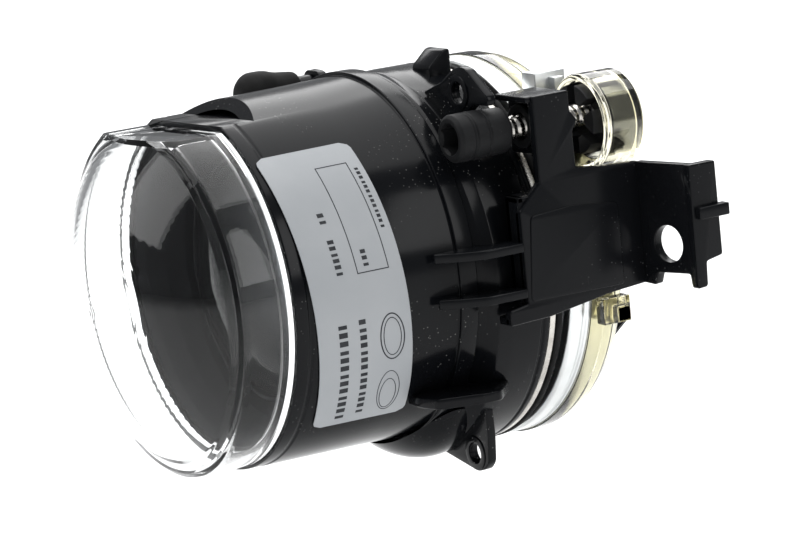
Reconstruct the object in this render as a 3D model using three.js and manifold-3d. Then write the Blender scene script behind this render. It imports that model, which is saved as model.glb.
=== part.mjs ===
// Front fog light: a clear domed lens on a round black housing, a projector
// module that tilts behind it for aiming, its adjuster screw, and the bulb.
// Millimetres. The barrel axis runs along Y, the lens faces -Y, +Z is up, and
// the mounting arm is on the +X side. The barrel is drawn about its own axis
// with its front rim at y = 0. The finished group is then moved so that its
// origin is the centre of the bolt hole in the arm's flange.
import * as THREE from 'three';
import { mergeVertices } from 'three/addons/utils/BufferGeometryUtils.js';
import Module from 'manifold-3d';

const wasm = await Module();
wasm.setup();

// ---- driving dimensions ----
const GAP = 0.3; // clearance between pieces that touch
const ROUND = 48; // facets on large turned pieces
const SMALL = 20; // facets on small turned pieces

const RIM_R = 45.2; // housing at its front rim
const BARREL_R = 46.2; // housing at the hoop
const WALL = 2.4;
const HOOP = { start: 44.5, end: 49.4, r: 47.2 };
const REAR = { start: 54, end: 68.6, r: 49, drop: 3 }; // rear drum, centred lower
const FLAT_ANGLE = 91.2; // direction that the top flat faces, degrees from +X
const LENS_R = 44.5;
const LENS_FLAT = 40; // distance of the lens flat from the axis
const LENS_WALL = 2.2;
const HOUSING_FLAT = 41.4; // the housing's own flat stands a little higher
const DOME = { r: 58, apex: -32, skirtEnd: -12.4 };
const EAR = { y: 55, thick: 2.4, holeR: 56.6, angles: [49, -59] };
const SCREW = { x: 45.5, z: 33.3, capFront: 46.2 }; // adjuster axis
const ARM = { x: 56, thick: 2.6 }; // outer face and thickness of the arm's panel
const FLANGE = { x: 55.2, y: 91.7, turn: 10.3, length: 19.4, thick: 2.6 };
const HOLE = { along: 9.8, z: 1.4, r: 4.6 };
const CARRIER = { front: 74.8, shoulder: 88, back: 92, r: 49 };
const CUP = { x: 45.5, z: 31.4, r: 12, front: 83.5, back: 95 };
const MODULE_LENS = { y: 14, r: 29.5 };
const PIVOT = { y: 80, r: 2.2 }; // the module tilts about this line along X
const BULB = { z: -REAR.drop, seat: 98 };

const rad = THREE.MathUtils.degToRad;
const v2 = (x, y) => new THREE.Vector2(x, y);

// ---- solids ----
function signedVolume(geometry) {
  const p = geometry.attributes.position;
  const index = geometry.index.array;
  const [a, b, c] = [new THREE.Vector3(), new THREE.Vector3(), new THREE.Vector3()];
  let total = 0;
  for (let i = 0; i < index.length; i += 3) {
    a.fromBufferAttribute(p, index[i]);
    b.fromBufferAttribute(p, index[i + 1]);
    c.fromBufferAttribute(p, index[i + 2]);
    total += a.dot(b.cross(c));
  }
  return total;
}

// Welds a geometry's shared vertices, drops triangles with no area and turns
// its faces outward.
function closed(source) {
  const bare = source.clone();
  bare.deleteAttribute('normal');
  bare.deleteAttribute('uv');
  const welded = mergeVertices(bare, 1e-4);
  const kept = [];
  const index = welded.index.array;
  for (let i = 0; i < index.length; i += 3) {
    const [a, b, c] = [index[i], index[i + 1], index[i + 2]];
    if (a !== b && b !== c && c !== a) kept.push(a, b, c);
  }
  welded.setIndex(kept);
  if (signedVolume(welded) < 0) welded.setIndex([...welded.index.array].reverse());
  return welded;
}

function toManifold(source) {
  const geometry = closed(source);
  return new wasm.Manifold(new wasm.Mesh({
    numProp: 3,
    vertProperties: new Float32Array(geometry.attributes.position.array),
    triVerts: new Uint32Array(geometry.index.array),
  }));
}

function fromManifold(body) {
  const mesh = body.getMesh();
  const geometry = new THREE.BufferGeometry();
  geometry.setAttribute('position', new THREE.BufferAttribute(new Float32Array(mesh.vertProperties), 3));
  geometry.setIndex(new THREE.BufferAttribute(new Uint32Array(mesh.triVerts), 1));
  return geometry;
}

function combine(base, { add = [], cut = [] }) {
  let body = toManifold(base);
  for (const piece of add) body = body.add(toManifold(piece));
  for (const piece of cut) body = body.subtract(toManifold(piece));
  return fromManifold(body);
}

const common = (a, b) => fromManifold(toManifold(a).intersect(toManifold(b)));

// Turns a profile of [y, r] points round the Y axis. A profile that doesn't
// touch the axis at both ends is closed on itself.
function turned(profile, facets = ROUND) {
  const points = profile.map(([y, r]) => v2(r, y));
  const onAxis = profile[0][1] === 0 && profile[profile.length - 1][1] === 0;
  if (!onAxis) points.push(points[0].clone());
  return closed(new THREE.LatheGeometry(points, facets));
}

// A straight round bar along Y.
const bar = (r, y0, y1, facets = SMALL) => turned([[y0, 0], [y0, r], [y1, r], [y1, 0]], facets);

// A ring along Y with square edges.
const ring = (inner, outer, y0, y1, facets = ROUND) =>
  turned([[y0, inner], [y0, outer], [y1, outer], [y1, inner]], facets);

const outline = (points) => new THREE.Shape(points.map(([x, y]) => v2(x, y)));

function extruded(shape, depth, xAxis, yAxis, at) {
  const geometry = new THREE.ExtrudeGeometry(shape, { depth, bevelEnabled: false, curveSegments: 8 });
  const zAxis = new THREE.Vector3().crossVectors(xAxis, yAxis);
  const place = new THREE.Matrix4().makeBasis(xAxis, yAxis, zAxis).setPosition(at);
  return closed(geometry.applyMatrix4(place));
}

const X = new THREE.Vector3(1, 0, 0);
const Y = new THREE.Vector3(0, 1, 0);
const Z = new THREE.Vector3(0, 0, 1);

// Plates drawn as an outline across one axis: (y, z), (x, z) and (x, y).
const plateAcrossX = (shape, x0, x1) => extruded(shape, x1 - x0, Y, Z, new THREE.Vector3(x0, 0, 0));
const plateAcrossY = (shape, y0, y1) => extruded(shape, y1 - y0, X, Z, new THREE.Vector3(0, y1, 0));
const plateAcrossZ = (shape, z0, z1) => extruded(shape, z1 - z0, X, Y, new THREE.Vector3(0, 0, z0));

function box(x0, x1, y0, y1, z0, z1) {
  const geometry = new THREE.BoxGeometry(x1 - x0, y1 - y0, z1 - z0);
  return closed(geometry.translate((x0 + x1) / 2, (y0 + y1) / 2, (z0 + z1) / 2));
}

// A slab parallel to the top flat, between two distances from the barrel axis.
function flatSlab(low, high, y0, y1) {
  const geometry = new THREE.BoxGeometry(80, y1 - y0, high - low);
  geometry.translate(0, (y0 + y1) / 2, (low + high) / 2);
  return closed(geometry.rotateY(rad(90 - FLAT_ANGLE)));
}

// ---- lens ----
const domeY = (r, shell = 0) => {
  const radius = DOME.r - shell;
  return DOME.apex + DOME.r - Math.sqrt(radius * radius - r * r);
};

function lensGeometry() {
  const outer = [0, 10, 20, 29, 36, 40].map((r) => [domeY(r), r]);
  const corner = [[-14.9, 42.3], [-13.6, 43.8], [DOME.skirtEnd, 44.4]];
  const inner = [40.2, 36, 29, 20, 10, 0].map((r) => [domeY(r, LENS_WALL), r]);
  const skirt = [[-GAP, LENS_R], [-GAP, RIM_R - 4.6], [-2.4, RIM_R - 4.6], [-2.4, 42.1], [-12.2, 42]];
  const profile = [...outer, ...corner, ...skirt, ...inner];
  const solidLens = turned([...outer, ...corner, [-GAP, LENS_R], [-GAP, 0]]);
  const wall = common(solidLens, flatSlab(LENS_FLAT - LENS_WALL, LENS_FLAT, -26, -GAP));
  return combine(turned(profile), { add: [wall], cut: [flatSlab(LENS_FLAT, 60, -40, 1)] });
}

// ---- housing ----
function lowered(geometry, start, end, drop) {
  const p = geometry.attributes.position;
  for (let i = 0; i < p.count; i += 1) {
    p.setZ(i, p.getZ(i) - drop * THREE.MathUtils.smoothstep(p.getY(i), start, end));
  }
  return geometry;
}

// The upper ear widens towards the adjuster and clears its cap.
const UPPER_EAR = outline([
  [21, 42], [29.8, 44.9], [35.4, 48.4], [38.7, 49.2], [41.8, 48.6], [50.1, 42.5], [50.1, 40.2], [44, 40.2], [41, 38.6],
  [38.7, 35], [38.2, 31], [36, 26],
]);

const LOWER_EAR = outline([
  [12, -42], [10, -50], [25.8, -52.7], [29.4, -53.3], [32.8, -52.3], [34.9, -50.2], [35.7, -43.2], [35.5, -36], [28, -34],
]);

function earHole(angle) {
  const hole = bar(2.7, EAR.y - 2, EAR.y + EAR.thick + 2);
  return hole.translate(EAR.holeR * Math.cos(rad(angle)), 0, EAR.holeR * Math.sin(rad(angle)));
}

// A low pad round an ear's hole, proud of its front face.
function earPad(angle) {
  const pad = bar(4.4, EAR.y - 0.3, EAR.y + 1, 24);
  return pad.translate(EAR.holeR * Math.cos(rad(angle)), 0, EAR.holeR * Math.sin(rad(angle)));
}

const pivotHole = (x0, x1) => {
  const hole = new THREE.CylinderGeometry(PIVOT.r + 0.2, PIVOT.r + 0.2, x1 - x0, 16).rotateZ(rad(90));
  return closed(hole.translate((x0 + x1) / 2, PIVOT.y, -REAR.drop));
};

function housingGeometry() {
  const outer = turned([
    [0, 0], [0, RIM_R], [30, 45.8], [HOOP.start, BARREL_R], [HOOP.start, HOOP.r], [HOOP.end, HOOP.r],
    [HOOP.end, BARREL_R + 0.2], [REAR.start - 1.5, REAR.r - 0.4], [REAR.start, REAR.r],
    [REAR.end, REAR.r], [REAR.end, 0],
  ]);
  const inner = turned([
    [-5, 0], [-5, RIM_R - WALL], [30, 45.8 - WALL], [HOOP.end, BARREL_R - WALL], [REAR.start, REAR.r - WALL],
    [REAR.end + 5, REAR.r - WALL], [REAR.end + 5, 0],
  ]);
  lowered(outer, HOOP.end, REAR.start, REAR.drop);
  lowered(inner, HOOP.end, REAR.start, REAR.drop);
  const belly = new THREE.SphereGeometry(1, 24, 14).scale(30, 18, 24.5).translate(4, 52, -28);
  const ears = [UPPER_EAR, LOWER_EAR].map((shape) => plateAcrossY(shape, EAR.y, EAR.y + EAR.thick));
  const fin = plateAcrossY(outline([[-34, 28], [-24, 36], [-31, 44], [-38, 44], [-46, 30]]), EAR.y, EAR.y + EAR.thick);
  const topLug = plateAcrossZ(outline([[5, 62], [13.5, 62], [13.5, REAR.end - 0.3], [5, REAR.end - 0.3]]), 43, 50.4);
  const shelf = plateAcrossZ(outline([[20, 36], [40, 33.7], [46, 35.5], [50, 46], [50.5, 51], [43, 58], [20, 60]]), -31, -28.4);
  const pivotLug = combine(box(-53, -49.4, 58, 84, -8, 2), { cut: [pivotHole(-56, -46)] });
  const lugRoot = box(-51, -44, 58, REAR.end, -8, 2);
  const flatWall = common(bar(RIM_R - 0.7, 0.4, 16, ROUND), flatSlab(HOUSING_FLAT - WALL, HOUSING_FLAT - 0.1, -1, 17));
  const flatCut = plateAcrossX(outline([
    [-8, HOUSING_FLAT], [9, HOUSING_FLAT], [15, 47], [15, 60], [-8, 60],
  ]), -40, 40).rotateY(rad(90 - FLAT_ANGLE));
  const shell = combine(outer, {
    add: [belly, ...ears, ...EAR.angles.map(earPad), fin, topLug, shelf, lugRoot, pivotLug],
    cut: [inner, flatCut, ...EAR.angles.map(earHole)],
  });
  return combine(shell, { add: [flatWall] });
}

// Cuts a front piece so that it clears the wall under the housing's flat.
const underFlat = (geometry) => combine(geometry, { cut: [flatSlab(HOUSING_FLAT - WALL - GAP, 60, -1, 17)] });

const bezelGeometry = () => underFlat(turned([
  [1, 39.8], [1.6, 42.2], [6, 42.4], [6, 40.6], [22, 36.4], [22, 34.8], [3, 38.4],
]));

const sealGeometry = () => underFlat(ring(RIM_R - 4.4, RIM_R - 2.9, 0, 1.4 - GAP));

// The metal ring and the rubber ring that close the housing's back edge.
const backRing = (inner, outer, y0, y1) => ring(inner, outer, y0, y1).translate(0, 0, -REAR.drop);
const clampRing = () => backRing(45.6, 48.7, REAR.end + GAP, 70.6);
const gasket = () => backRing(45.2, 49, 70.9, 72.6);

// The label is a strip bent round the barrel, a little askew.
const LABEL = { from: -44, to: 49, width: 25.4, start: 7.6, skew: 6.4, thick: 0.25, steps: 18 };

function labelGeometry() {
  const section = outline([[0, 0], [LABEL.thick, 0], [LABEL.thick, LABEL.width], [0, LABEL.width]]);
  const strip = new THREE.ExtrudeGeometry(section, { depth: 1, steps: LABEL.steps, bevelEnabled: false });
  const p = strip.attributes.position;
  for (let i = 0; i < p.count; i += 1) {
    const part = p.getZ(i);
    const angle = rad(LABEL.from + (LABEL.to - LABEL.from) * part);
    const y = LABEL.start - LABEL.skew * part + p.getY(i);
    const r = RIM_R + (BARREL_R - RIM_R) * (y / HOOP.start) + GAP + p.getX(i);
    p.setXYZ(i, r * Math.cos(angle), y, r * Math.sin(angle));
  }
  return closed(strip);
}

// ---- mounting arm ----
const BUSH_WALL = { front: 67.4, back: 70.6 };

function ribOutline(z) {
  const inside = Math.sqrt(HOOP.r * HOOP.r - z * z) + GAP;
  return outline([
    [inside, 37.5], [inside + 1, 37.2], [51.5, 41], [55.4, 47], [ARM.x, 58.4],
    [inside + 2.8, 58.4], [inside + 2.8, 52], [inside + 0.2, 49.8],
  ]);
}

function flangeGeometry() {
  const shape = outline([
    [0, -8.8], [4.4, -9.2], [5.6, -6], [16.2, -5.6], [16.6, -8.6], [FLANGE.length, -9],
    [FLANGE.length, 21.4], [0, 21.2],
  ]);
  const hole = new THREE.Path();
  hole.absarc(HOLE.along, HOLE.z, HOLE.r, 0, 2 * Math.PI, true);
  shape.holes.push(hole);
  const along = X.clone().applyAxisAngle(Z, rad(FLANGE.turn));
  const facing = new THREE.Vector3().crossVectors(along, Z);
  const back = new THREE.Vector3(FLANGE.x, FLANGE.y, 0).addScaledVector(facing, -FLANGE.thick);
  return extruded(shape, FLANGE.thick, along, Z, back);
}

function armGeometry() {
  const inside = ARM.x - ARM.thick;
  const panel = plateAcrossX(outline([
    [52.2, -12.4], [63.5, -12.1], [81.2, -9.6], [93.4, -8.8], [93.4, 21.2], [82, 21.8], [74.6, 22.8], [74.6, 31.6],
    [76.3, 34], [74.3, 36.6], [74.3, 41.6], [63.9, 41.6], [63.9, 20.6], [57.6, 14.8], [57.6, -7.8], [52.2, -8.6],
  ]), inside, ARM.x);
  const topWall = box(41.5, ARM.x - 1, 62.5, 74.3, 40, 41.5);
  const bushWall = box(39.5, ARM.x - 1, BUSH_WALL.front, BUSH_WALL.back, 26.4, 41);
  const floorWall = box(50.6, ARM.x - 1, 57.6, 93.4, 16.4, 18);
  const frontWall = box(49.5, ARM.x - 1, 57.6, 59.4, -8, 18);
  const lowShape = outline([[52.2, -12.4], [63.5, -12.1], [81.2, -9.6], [81.2, -7.8], [52.2, -10.4]]);
  const lowWall = plateAcrossX(lowShape, 50.6, ARM.x - 1);
  const shin = box(49.5, 51.4, 57.6, 72, -8, 18);
  const ribs = [[4.8, 7.1], [-6.4, -4.1]].map(([z0, z1]) => plateAcrossZ(ribOutline(z1), z0, z1));
  const endX = FLANGE.x + FLANGE.length * Math.cos(rad(FLANGE.turn));
  const endWall = plateAcrossX(outline([
    [94.6, -9], [97.6, -8.6], [97.8, -2.6], [102.6, -1.7], [102.4, 21.4], [94.6, 21.4],
  ]), endX - 2.6, endX);
  const lug = box(endX - 1, endX + 1.8, 95.6, 104.4, 8, 11);
  const pivotBoss = box(50.4, inside + 0.2, 75.6, 84.4, -7.4, 1.4);
  const bushHole = bar(4.5, 60, 75).translate(SCREW.x, 0, SCREW.z);
  return combine(panel, {
    add: [topWall, bushWall, floorWall, frontWall, lowWall, shin, ...ribs, pivotBoss, flangeGeometry(), endWall, lug],
    cut: [bushHole, pivotHole(48, inside)],
  });
}

// ---- adjuster ----
const HEX_R = 4.05; // corner radius of the cap's hex socket

// The cap's shape is drawn from its front face at y = 0.
function capGeometry() {
  const groove = (y) => [[y, 5.9], [y, 5.5], [y + 0.7, 5.5], [y + 0.7, 5.9]];
  const cap = turned([
    [0, 0], [0, 5], [0.8, 5.8], ...groove(4.2), ...groove(8.2), [14.2, 5.6], [15, 4.8], [15, 0],
  ], 24);
  const socket = new THREE.CylinderGeometry(HEX_R, HEX_R, 10, 6).translate(0, 1, 0);
  const bore = bar(2.6 + GAP, 11.6, 16);
  return combine(cap, { cut: [socket, bore] }).translate(0, SCREW.capFront, 0);
}

function screwGeometry() {
  const start = SCREW.capFront + 11.9;
  const profile = [[start, 0], [start, 2.6]];
  for (let y = start + 4; y < 91; y += 2) profile.push([y, 2.5], [y + 1, 3]);
  profile.push([91.4, 2], [91.4, 0]);
  return turned(profile, 16);
}

const bushGeometry = () => {
  const [front, back] = [BUSH_WALL.front - GAP, BUSH_WALL.back + GAP];
  return turned([
    [front - 0.9, 3.4], [front - 0.9, 5.4], [front, 5.4], [front, 4.1],
    [back, 4.1], [back, 5.6], [back + 1.5, 5.6], [back + 1.5, 3.4],
  ], SMALL);
};

// Castellated nut that the cup holds; its bore clears the screw's thread.
function nutGeometry() {
  const nut = turned([
    [CUP.front - 1.5, 4.6], [CUP.front - 1.5, 8.6], [CUP.front + 1.5, 8.8], [92, 8.8], [93, 7.4], [93, 4.6],
  ], 24);
  const slot = () => box(-1.5, 1.5, CUP.front - 3, CUP.front + 2, -10, 10);
  const slots = [0, 60, 120].map((turn) => slot().rotateY(rad(turn)));
  return combine(nut, { cut: slots });
}

// ---- projector module ----
function carrierGeometry() {
  const { front, shoulder, back, r } = CARRIER;
  const drum = turned([
    [front, r - 3.4], [front, r - 0.6], [front + 0.8, r], [shoulder, r], [shoulder + 2.6, r - 1.6], [back, r - 5.6],
    [back, 24], [BULB.seat, 22.6], [BULB.seat, 19], [back - 2.6, 20.4], [back - 2.6, r - 6.6], [shoulder, r - 3.4],
  ]).translate(0, 0, -REAR.drop);
  const cupSolid = bar(CUP.r, CUP.front, CUP.back, 32).translate(CUP.x, 0, CUP.z);
  const cupHollow = bar(CUP.r - 2, CUP.front - 3, CUP.back - 1.6, 32).translate(CUP.x, 0, CUP.z);
  const clip = box(42, 51.5, 86, 90, -18.5, -14.5);
  const clipHook = box(48, 51.5, 82, 90, -18.5, -12);
  const topLug = box(27, 33, 80, 89, 30, 43.4);
  const hollow = turned([
    [front - 1, 0], [front - 1, r - 3.4], [shoulder, r - 3.4], [back - 2.6, r - 6.6], [back - 2.6, 0],
  ]).translate(0, 0, -REAR.drop);
  const pivots = [pivotHole(-52, -44), pivotHole(44, 52)];
  return combine(drum, { add: [clip, clipHook, topLug, cupSolid], cut: [cupHollow, hollow, ...pivots] });
}

function reflectorGeometry() {
  const rim = CARRIER.r - 4.2;
  const depth = (r, shell) => 89 - 13 * ((r + shell) / rim) ** 2;
  const radii = [12, 20, 28, 35, 40, rim];
  const face = radii.map((r) => [depth(r, 0) - 0.2, r]);
  const back = [...radii].reverse().map((r) => [depth(r, -1.6) - 0.2, r]);
  return turned([...face, ...back]).translate(0, 0, -REAR.drop);
}

function holderGeometry() {
  const seat = MODULE_LENS.y + 2;
  const tube = turned([
    [seat - 3, MODULE_LENS.r + GAP], [seat - 3, 31.4], [seat + 6, 31.4], [60, 39], [73.6, 43], [73.6, 41.4], [60, 37.4],
    [seat + 5, 29.4], [seat + 5, 27], [seat + 3, 27], [seat + 3, MODULE_LENS.r + GAP],
  ]);
  return lowered(tube, 20, 73, REAR.drop);
}

function moduleLensGeometry() {
  const front = [0, 9, 17, 24, MODULE_LENS.r].map((r) => [MODULE_LENS.y - 9 * (1 - (r / MODULE_LENS.r) ** 2), r]);
  return turned([...front, [MODULE_LENS.y + 4.4, MODULE_LENS.r], [MODULE_LENS.y + 4.4, 0]]);
}

function shieldGeometry() {
  const plate = ring(14, 35.6, 57, 58.2, 32);
  const blade = plateAcrossY(outline([[-20, -24], [20, -24], [20, -2], [4, -2], [0, 1], [-20, 1]]), 57, 58.2);
  return combine(plate, { add: [blade] }).translate(0, 0, 0.5 - REAR.drop);
}

// ---- bulb ----
const onBulbAxis = (geometry) => geometry.translate(0, 0, BULB.z);
const bulbGlass = () => onBulbAxis(turned([[72, 0], [73.5, 3.6], [76, 5.2], [95.6, 5.2], [95.6, 0]], SMALL));
const bulbCollar = () => onBulbAxis(turned([[96, 0], [96, 10.4], [98.4, 10.4], [98.4, 0]], 24));
const bulbSeal = () => onBulbAxis(ring(16.2, 18.6, 93.6, 95.8, 32));

function bulbHolder() {
  const flange = bar(21, BULB.seat + GAP, 101.6, 32);
  const plug = bar(18, 96.4, BULB.seat + 0.5, 32);
  const seat = bar(10.4 + GAP, 95, 98.7, 24);
  const body = bar(13, 101, 107, 24);
  const wings = box(-24, 24, 98.6, 101.4, -4, 4);
  const socket = box(-6.6, 6.6, 99.5, 108.4, -32, -8);
  const mouth = box(-5.2, 5.2, 100.9, 107, -34, -18);
  const keyway = box(-3, 3, 97, 98.6, -2, 2);
  const turnedSocket = (piece) => piece.rotateY(rad(-38));
  return onBulbAxis(combine(flange, {
    add: [plug, body, wings, turnedSocket(socket)],
    cut: [seat, keyway, turnedSocket(mouth)],
  }));
}

const terminal = (side) => onBulbAxis(box(side - 1.1, side + 1.1, 103.4, 104.4, -27, -18.3).rotateY(rad(-38)));

// ---- vent pipe on the far side ----
const VENT = { x: -35, z: 39.9 };
const atVent = (geometry) => geometry.translate(VENT.x, 0, VENT.z);
const ventPipe = () => atVent(turned([[42, 1.6], [42, 3.1], [EAR.y - GAP, 3.1], [EAR.y - GAP, 1.6]], SMALL));
const ventCap = () => atVent(turned([
  [31.5, 0], [31.5, 3.6], [34.5, 6.2], [40, 6.2], [43.5, 5], [50, 4.6], [50, 3.1 + GAP], [41.6, 3.1 + GAP], [41.6, 0],
], SMALL));

function pivotPin(side) {
  const [inner, outer] = [CARRIER.r - 3, ARM.x - ARM.thick - GAP];
  const pin = new THREE.CylinderGeometry(PIVOT.r, PIVOT.r, outer - inner, 16).rotateZ(rad(90));
  return closed(pin.translate((side * (inner + outer)) / 2, PIVOT.y, -REAR.drop));
}

// ---- assembly ----
const LOOKS = {
  gloss_black: { color: 0x17181a, roughness: 0.22, metalness: 0 },
  matte_black: { color: 0x26282b, roughness: 0.55, metalness: 0 },
  clear: { color: 0xeef2f4, roughness: 0.05, metalness: 0, transparent: true, opacity: 0.35 },
  amber_clear: { color: 0xefe6c4, roughness: 0.08, metalness: 0, transparent: true, opacity: 0.6 },
  rubber: { color: 0x141414, roughness: 0.8, metalness: 0 },
  steel: { color: 0xb8b6b0, roughness: 0.3, metalness: 1 },
  mirror: { color: 0xdfe3e6, roughness: 0.08, metalness: 1 },
  paper: { color: 0xe6e9ec, roughness: 0.5, metalness: 0 },
};

const group = new THREE.Group();

function piece(name, look, geometry) {
  const mesh = new THREE.Mesh(geometry, new THREE.MeshStandardMaterial(LOOKS[look]));
  mesh.name = name;
  group.add(mesh);
}

piece('lens', 'clear', lensGeometry());
piece('lens_seal', 'rubber', sealGeometry());
piece('housing', 'gloss_black', housingGeometry());
piece('bezel', 'matte_black', bezelGeometry());
piece('clamp_ring', 'steel', clampRing());
piece('gasket', 'rubber', gasket());
piece('label', 'paper', labelGeometry());
piece('mounting_arm', 'gloss_black', armGeometry());
piece('adjuster_bush', 'matte_black', bushGeometry().translate(SCREW.x, 0, SCREW.z));
piece('vent_pipe', 'gloss_black', ventPipe());
piece('vent_cap', 'rubber', ventCap());
piece('adjuster_cap', 'matte_black', capGeometry().translate(SCREW.x, 0, SCREW.z));
piece('adjuster_screw', 'steel', screwGeometry().translate(SCREW.x, 0, SCREW.z));
piece('carrier', 'amber_clear', carrierGeometry());
piece('reflector', 'mirror', reflectorGeometry());
piece('adjuster_nut', 'matte_black', nutGeometry().translate(CUP.x, 0, SCREW.z - 0.9));
piece('lens_holder', 'matte_black', holderGeometry());
piece('projector_lens', 'clear', moduleLensGeometry());
piece('cutoff_shield', 'steel', shieldGeometry());
piece('bulb_glass', 'clear', bulbGlass());
piece('bulb_collar', 'steel', bulbCollar());
piece('bulb_seal', 'rubber', bulbSeal());
piece('bulb_holder', 'matte_black', bulbHolder());
piece('terminal_left', 'steel', terminal(-2.6));
piece('terminal_right', 'steel', terminal(2.6));
piece('pivot_pin_left', 'steel', pivotPin(-1));
piece('pivot_pin_right', 'steel', pivotPin(1));

const holeAcross = rad(FLANGE.turn);
group.position.set(
  -(FLANGE.x + HOLE.along * Math.cos(holeAcross)),
  -(FLANGE.y + HOLE.along * Math.sin(holeAcross)),
  -HOLE.z,
);

export default group;
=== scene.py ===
"""Looks for the round front fog light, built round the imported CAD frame.

Shapes are drawn in millimetres in the barrel's own coordinates: the barrel axis
is Y, its front rim is at y = 0, the lens faces -Y and the mounting arm is on +X.
ORIGIN is the arm's bolt hole, which is the frame's origin.
"""
import math

import bmesh
import bpy
from mathutils import Matrix, Vector


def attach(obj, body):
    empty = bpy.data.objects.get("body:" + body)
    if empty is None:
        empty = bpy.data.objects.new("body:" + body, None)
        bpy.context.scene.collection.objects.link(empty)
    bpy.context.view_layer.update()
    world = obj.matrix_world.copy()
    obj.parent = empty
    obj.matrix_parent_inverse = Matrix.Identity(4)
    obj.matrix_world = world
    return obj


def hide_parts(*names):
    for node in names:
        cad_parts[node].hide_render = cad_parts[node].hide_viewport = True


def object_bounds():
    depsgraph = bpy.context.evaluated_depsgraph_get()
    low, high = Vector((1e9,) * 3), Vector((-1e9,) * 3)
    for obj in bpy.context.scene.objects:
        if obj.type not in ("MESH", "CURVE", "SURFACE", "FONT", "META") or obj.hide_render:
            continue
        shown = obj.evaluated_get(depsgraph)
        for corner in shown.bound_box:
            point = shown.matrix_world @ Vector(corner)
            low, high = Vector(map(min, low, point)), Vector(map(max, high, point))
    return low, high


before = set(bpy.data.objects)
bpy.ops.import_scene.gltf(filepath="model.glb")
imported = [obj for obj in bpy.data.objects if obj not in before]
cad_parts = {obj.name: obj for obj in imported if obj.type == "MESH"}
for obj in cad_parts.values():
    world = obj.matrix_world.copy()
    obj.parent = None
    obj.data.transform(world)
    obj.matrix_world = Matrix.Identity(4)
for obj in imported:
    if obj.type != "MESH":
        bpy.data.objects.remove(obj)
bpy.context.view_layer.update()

ORIGIN = Vector((64.842, 93.452, 1.4))
MM = 0.001
FINE = 224  # facets round large turned pieces
LENS_FACETS = 320
SHELL_FACETS = 192
CUP_FACETS = 96
SMALL = 64  # facets round small turned pieces

# ---- the part's driving sizes, mm ----
RIM_R = 45.2
BARREL_R = 46.2
WALL = 2.4
HOOP_START, HOOP_END, HOOP_R = 44.5, 49.4, 47.2
REAR_START, REAR_END, REAR_R, DROP = 54, 68.6, 49, 3
FLAT_ANGLE = 91.2
BARREL_MIDDLE_Y, BARREL_MIDDLE_R = 30, 45.8
LENS_R, LENS_WALL, LENS_FLAT, HOUSING_FLAT = 44.5, 2.2, 40, 41.4
DOME_R, DOME_APEX, DOME_EDGE_R, DOME_INSIDE_R = 58, -32, 40.6, 40.2
EAR_Y, EAR_THICK, EAR_HOLE_R, EAR_ANGLES = 55, 2.4, 56.6, (49, -59)
EAR_SCREW_R, EAR_PAD_R = 2.7, 4.4
SCREW_X, SCREW_Z, CAP_FRONT = 45.5, 33.3, 46.2
HEX_R, THREAD_PITCH, NUT_DROP = 4.05, 2.0, 0.9
ARM_X, ARM_THICK = 56, 2.6
FLANGE_X, FLANGE_Y, FLANGE_TURN, FLANGE_LENGTH, FLANGE_THICK = 55.2, 91.7, 10.3, 19.4, 2.6
CUP_X, CUP_Z, CUP_R, CUP_FRONT, CUP_BACK = 45.5, 31.4, 12, 83.5, 95
PROJECTOR_R, REFLECTOR_R, SHIELD_Y, SHIELD_THICK = 29.5, 44.8, 57, 1.2
TILT_Y = 80  # where the module's tilt axis crosses the barrel
BULB_Z, BULB_SEAT, PLUG_TURN = -3, 98, -38
VENT_X, VENT_Z = -35, 39.9


# ---- outlines ----
def rounded(points, radius=0.4, closed=True, steps=4):
    """The outline with each corner replaced by a short curve."""
    out = []
    count = len(points)
    for i, point in enumerate(points):
        here = Vector(point)
        if not closed and i in (0, count - 1):
            out.append(here)
            continue
        ends = []
        for other in (points[i - 1], points[(i + 1) % count]):
            side = Vector(other) - here
            reach = min(radius, 0.45 * side.length)
            ends.append(here + side.normalized() * reach)
        for k in range(steps + 1):
            t = k / steps
            out.append(ends[0] * (1 - t) ** 2 + here * 2 * t * (1 - t) + ends[1] * t ** 2)
    return out


def circle(x, y, r, steps=48):
    """A closed round outline."""
    turns = [2 * math.pi * k / steps for k in range(steps)]
    return [Vector((x + r * math.cos(a), y + r * math.sin(a))) for a in turns]


# ---- meshes, in mm ----
def smoothstep(x, low, high):
    """Rises smoothly from 0 at low to 1 at high."""
    t = min(1, max(0, (x - low) / (high - low)))
    return t * t * (3 - 2 * t)


def grid_faces(rows, columns, wrap_rows):
    """Quads between rows of vertices; each row closes on itself, and the rows may too."""
    faces = []
    for i in range(rows if wrap_rows else rows - 1):
        for j in range(columns):
            k = (j + 1) % columns
            n = (i + 1) % rows
            faces.append((i * columns + j, i * columns + k, n * columns + k, n * columns + j))
    return faces


def new_bm(verts, faces):
    bm = bmesh.new()
    made = [bm.verts.new(v) for v in verts]
    for face in faces:
        bm.faces.new([made[i] for i in face])
    bmesh.ops.remove_doubles(bm, verts=bm.verts, dist=1e-4)
    bmesh.ops.recalc_face_normals(bm, faces=bm.faces)
    return bm


def turned(profile, radius=0.4, facets=FINE, x=0, z=0, drop=None):
    """Turns a (y, r) profile round the Y axis; drop = (start, end, distance) lowers its far end."""
    on_axis = profile[0][1] == 0 and profile[-1][1] == 0
    points = rounded(profile, radius, closed=not on_axis)
    verts = []
    for y, r in points:
        low = drop[2] * smoothstep(y, drop[0], drop[1]) if drop else 0
        for k in range(facets):
            a = 2 * math.pi * k / facets
            verts.append((x + r * math.cos(a), y, z + r * math.sin(a) - low))
    return new_bm(verts, grid_faces(len(points), facets, not on_axis))


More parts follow.
